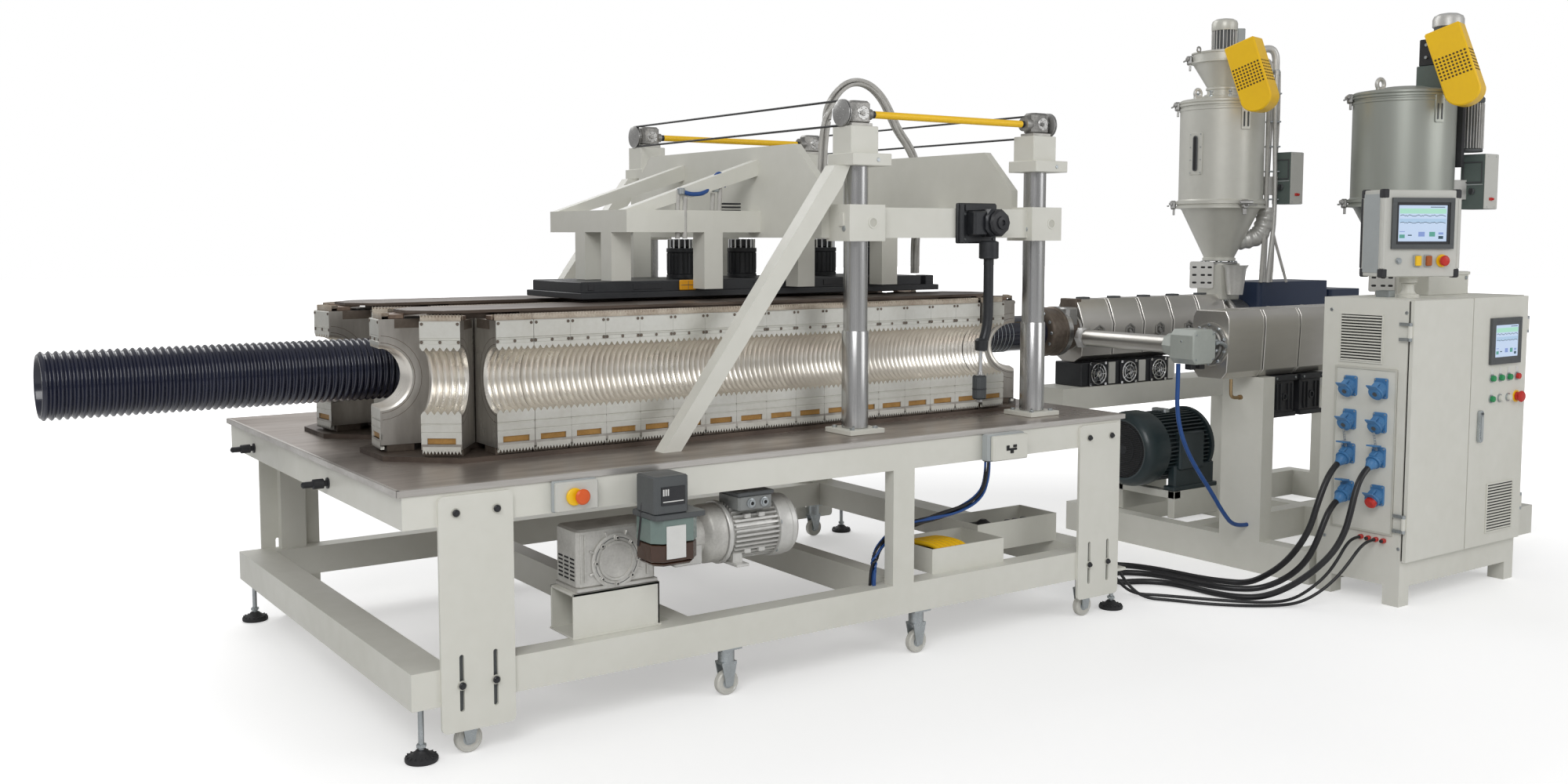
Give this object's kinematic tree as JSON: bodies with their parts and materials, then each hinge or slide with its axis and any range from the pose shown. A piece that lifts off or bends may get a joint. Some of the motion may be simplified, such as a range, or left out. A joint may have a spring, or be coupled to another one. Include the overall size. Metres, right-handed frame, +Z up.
{
  "type": "plastic pipe extrusion line",
  "caption": "Corrugated pipe extrusion line: mould chains on a table under a press frame, extruders with drying hoppers, and a control cabinet.",
  "frame": {"origin": "on the floor, under the middle of the front left levelling foot of the table", "axes": "+X along the line from the pipe's free end to the extruder drives, +Y away from the operator, +Z up"},
  "size_m": [8.266, 3.193, 3.282],
  "materials": {
    "ivory_paint": "warm ivory satin paint",
    "worn_steel": "worn brown-grey steel plate",
    "mould_aluminium": "machined aluminium, stained on top",
    "pipe_plastic": "glossy navy black plastic",
    "chrome": "polished chrome",
    "bare_metal": "bare machined steel",
    "black_metal": "black satin metal",
    "yellow_paint": "yellow paint",
    "motor_green": "dark green-grey paint",
    "cast_grey": "cast aluminium",
    "stainless": "brushed stainless sheet",
    "hopper_grey": "light grey paint",
    "gear_blue": "dark blue paint",
    "socket_blue": "blue plastic",
    "caster_plastic": "off-white plastic",
    "black_rubber": "black rubber",
    "clear_hose": "clear braided hose"
  },
  "bodies": {
    "base": {"apron_boxes": "ivory_paint", "barrel_fans": "black_metal", "base_frame": "ivory_paint", "cabinet_body": "ivory_paint", "cabinet_hinges": "bare_metal", "cabinet_plinth": "ivory_paint", "cabinet_sockets": "socket_blue", "cable_blue": "black_rubber", "cable_thick_back": "black_rubber", "cable_thick_front": "black_rubber", "cable_thick_middle": "black_rubber", "cable_thin_back": "black_rubber", "cable_thin_front": "black_rubber", "cable_wires": "black_rubber", "caster_forks": "bare_metal", "caster_wheels": "caster_plastic", "column_braces": "ivory_paint", "column_heads": "ivory_paint", "columns": "chrome", "corrugated_pipe": "pipe_plastic", "cross_belts": "black_rubber", "die_head": "stainless", "drive_gearbox": "cast_grey", "drive_motor": "cast_grey", "drying_hoppers": "hopper_grey", "extruder_gearboxes": "gear_blue", "feed_throats": "hopper_grey", "grease_pump": "black_metal", "guide_cores": "worn_steel", "head_gearboxes": "cast_grey", "hopper_loaders": "hopper_grey", "leg_plates": "ivory_paint", "levelling_feet": "black_rubber", "line_shafts": "yellow_paint", "lower_frame": "ivory_paint", "main_barrel": "stainless", "main_bed": "ivory_paint", "main_motor": "motor_green", "melt_pipe": "stainless", "mould_chain_back": "mould_aluminium", "mould_chain_front": "mould_aluminium", "panel_post": "ivory_paint", "service_trays": "ivory_paint", "side_barrel": "stainless", "table_apron": "ivory_paint", "table_posts": "ivory_paint", "table_top": "worn_steel", "track_plates": "worn_steel"},
    "carriage": {"slide_blocks": "ivory_paint", "bridge_plates": "ivory_paint", "press_beams": "ivory_paint", "cantilever_frame": "ivory_paint", "press_plate": "black_metal", "press_hangers": "ivory_paint", "press_cylinders": "black_metal", "spindle_tool": "black_metal", "hose_press": "clear_hose"},
    "left_door": {"door_left": "ivory_paint"},
    "right_door": {"door_right": "ivory_paint"},
    "panel": {"operator_panel": "ivory_paint"}
  },
  "joints": [
    {"name": "press_lift", "type": "slide", "parent": "base", "child": "carriage", "axis": [0, 0, 1], "range_m": [0, 0.045]},
    {"name": "cabinet_door_left", "type": "hinge", "parent": "base", "child": "left_door", "pos_m": [4.81, -0.848, 0.9], "axis": [0, 0, -1], "range_deg": [0, 110]},
    {"name": "cabinet_door_right", "type": "hinge", "parent": "base", "child": "right_door", "pos_m": [5.944, -0.848, 0.9], "axis": [0, 0, 1], "range_deg": [0, 110]},
    {"name": "panel_swivel", "type": "hinge", "parent": "base", "child": "panel", "pos_m": [5.129, -0.637, 1.7], "axis": [0, 0, 1], "range_deg": [-60, 60]}
  ]
}
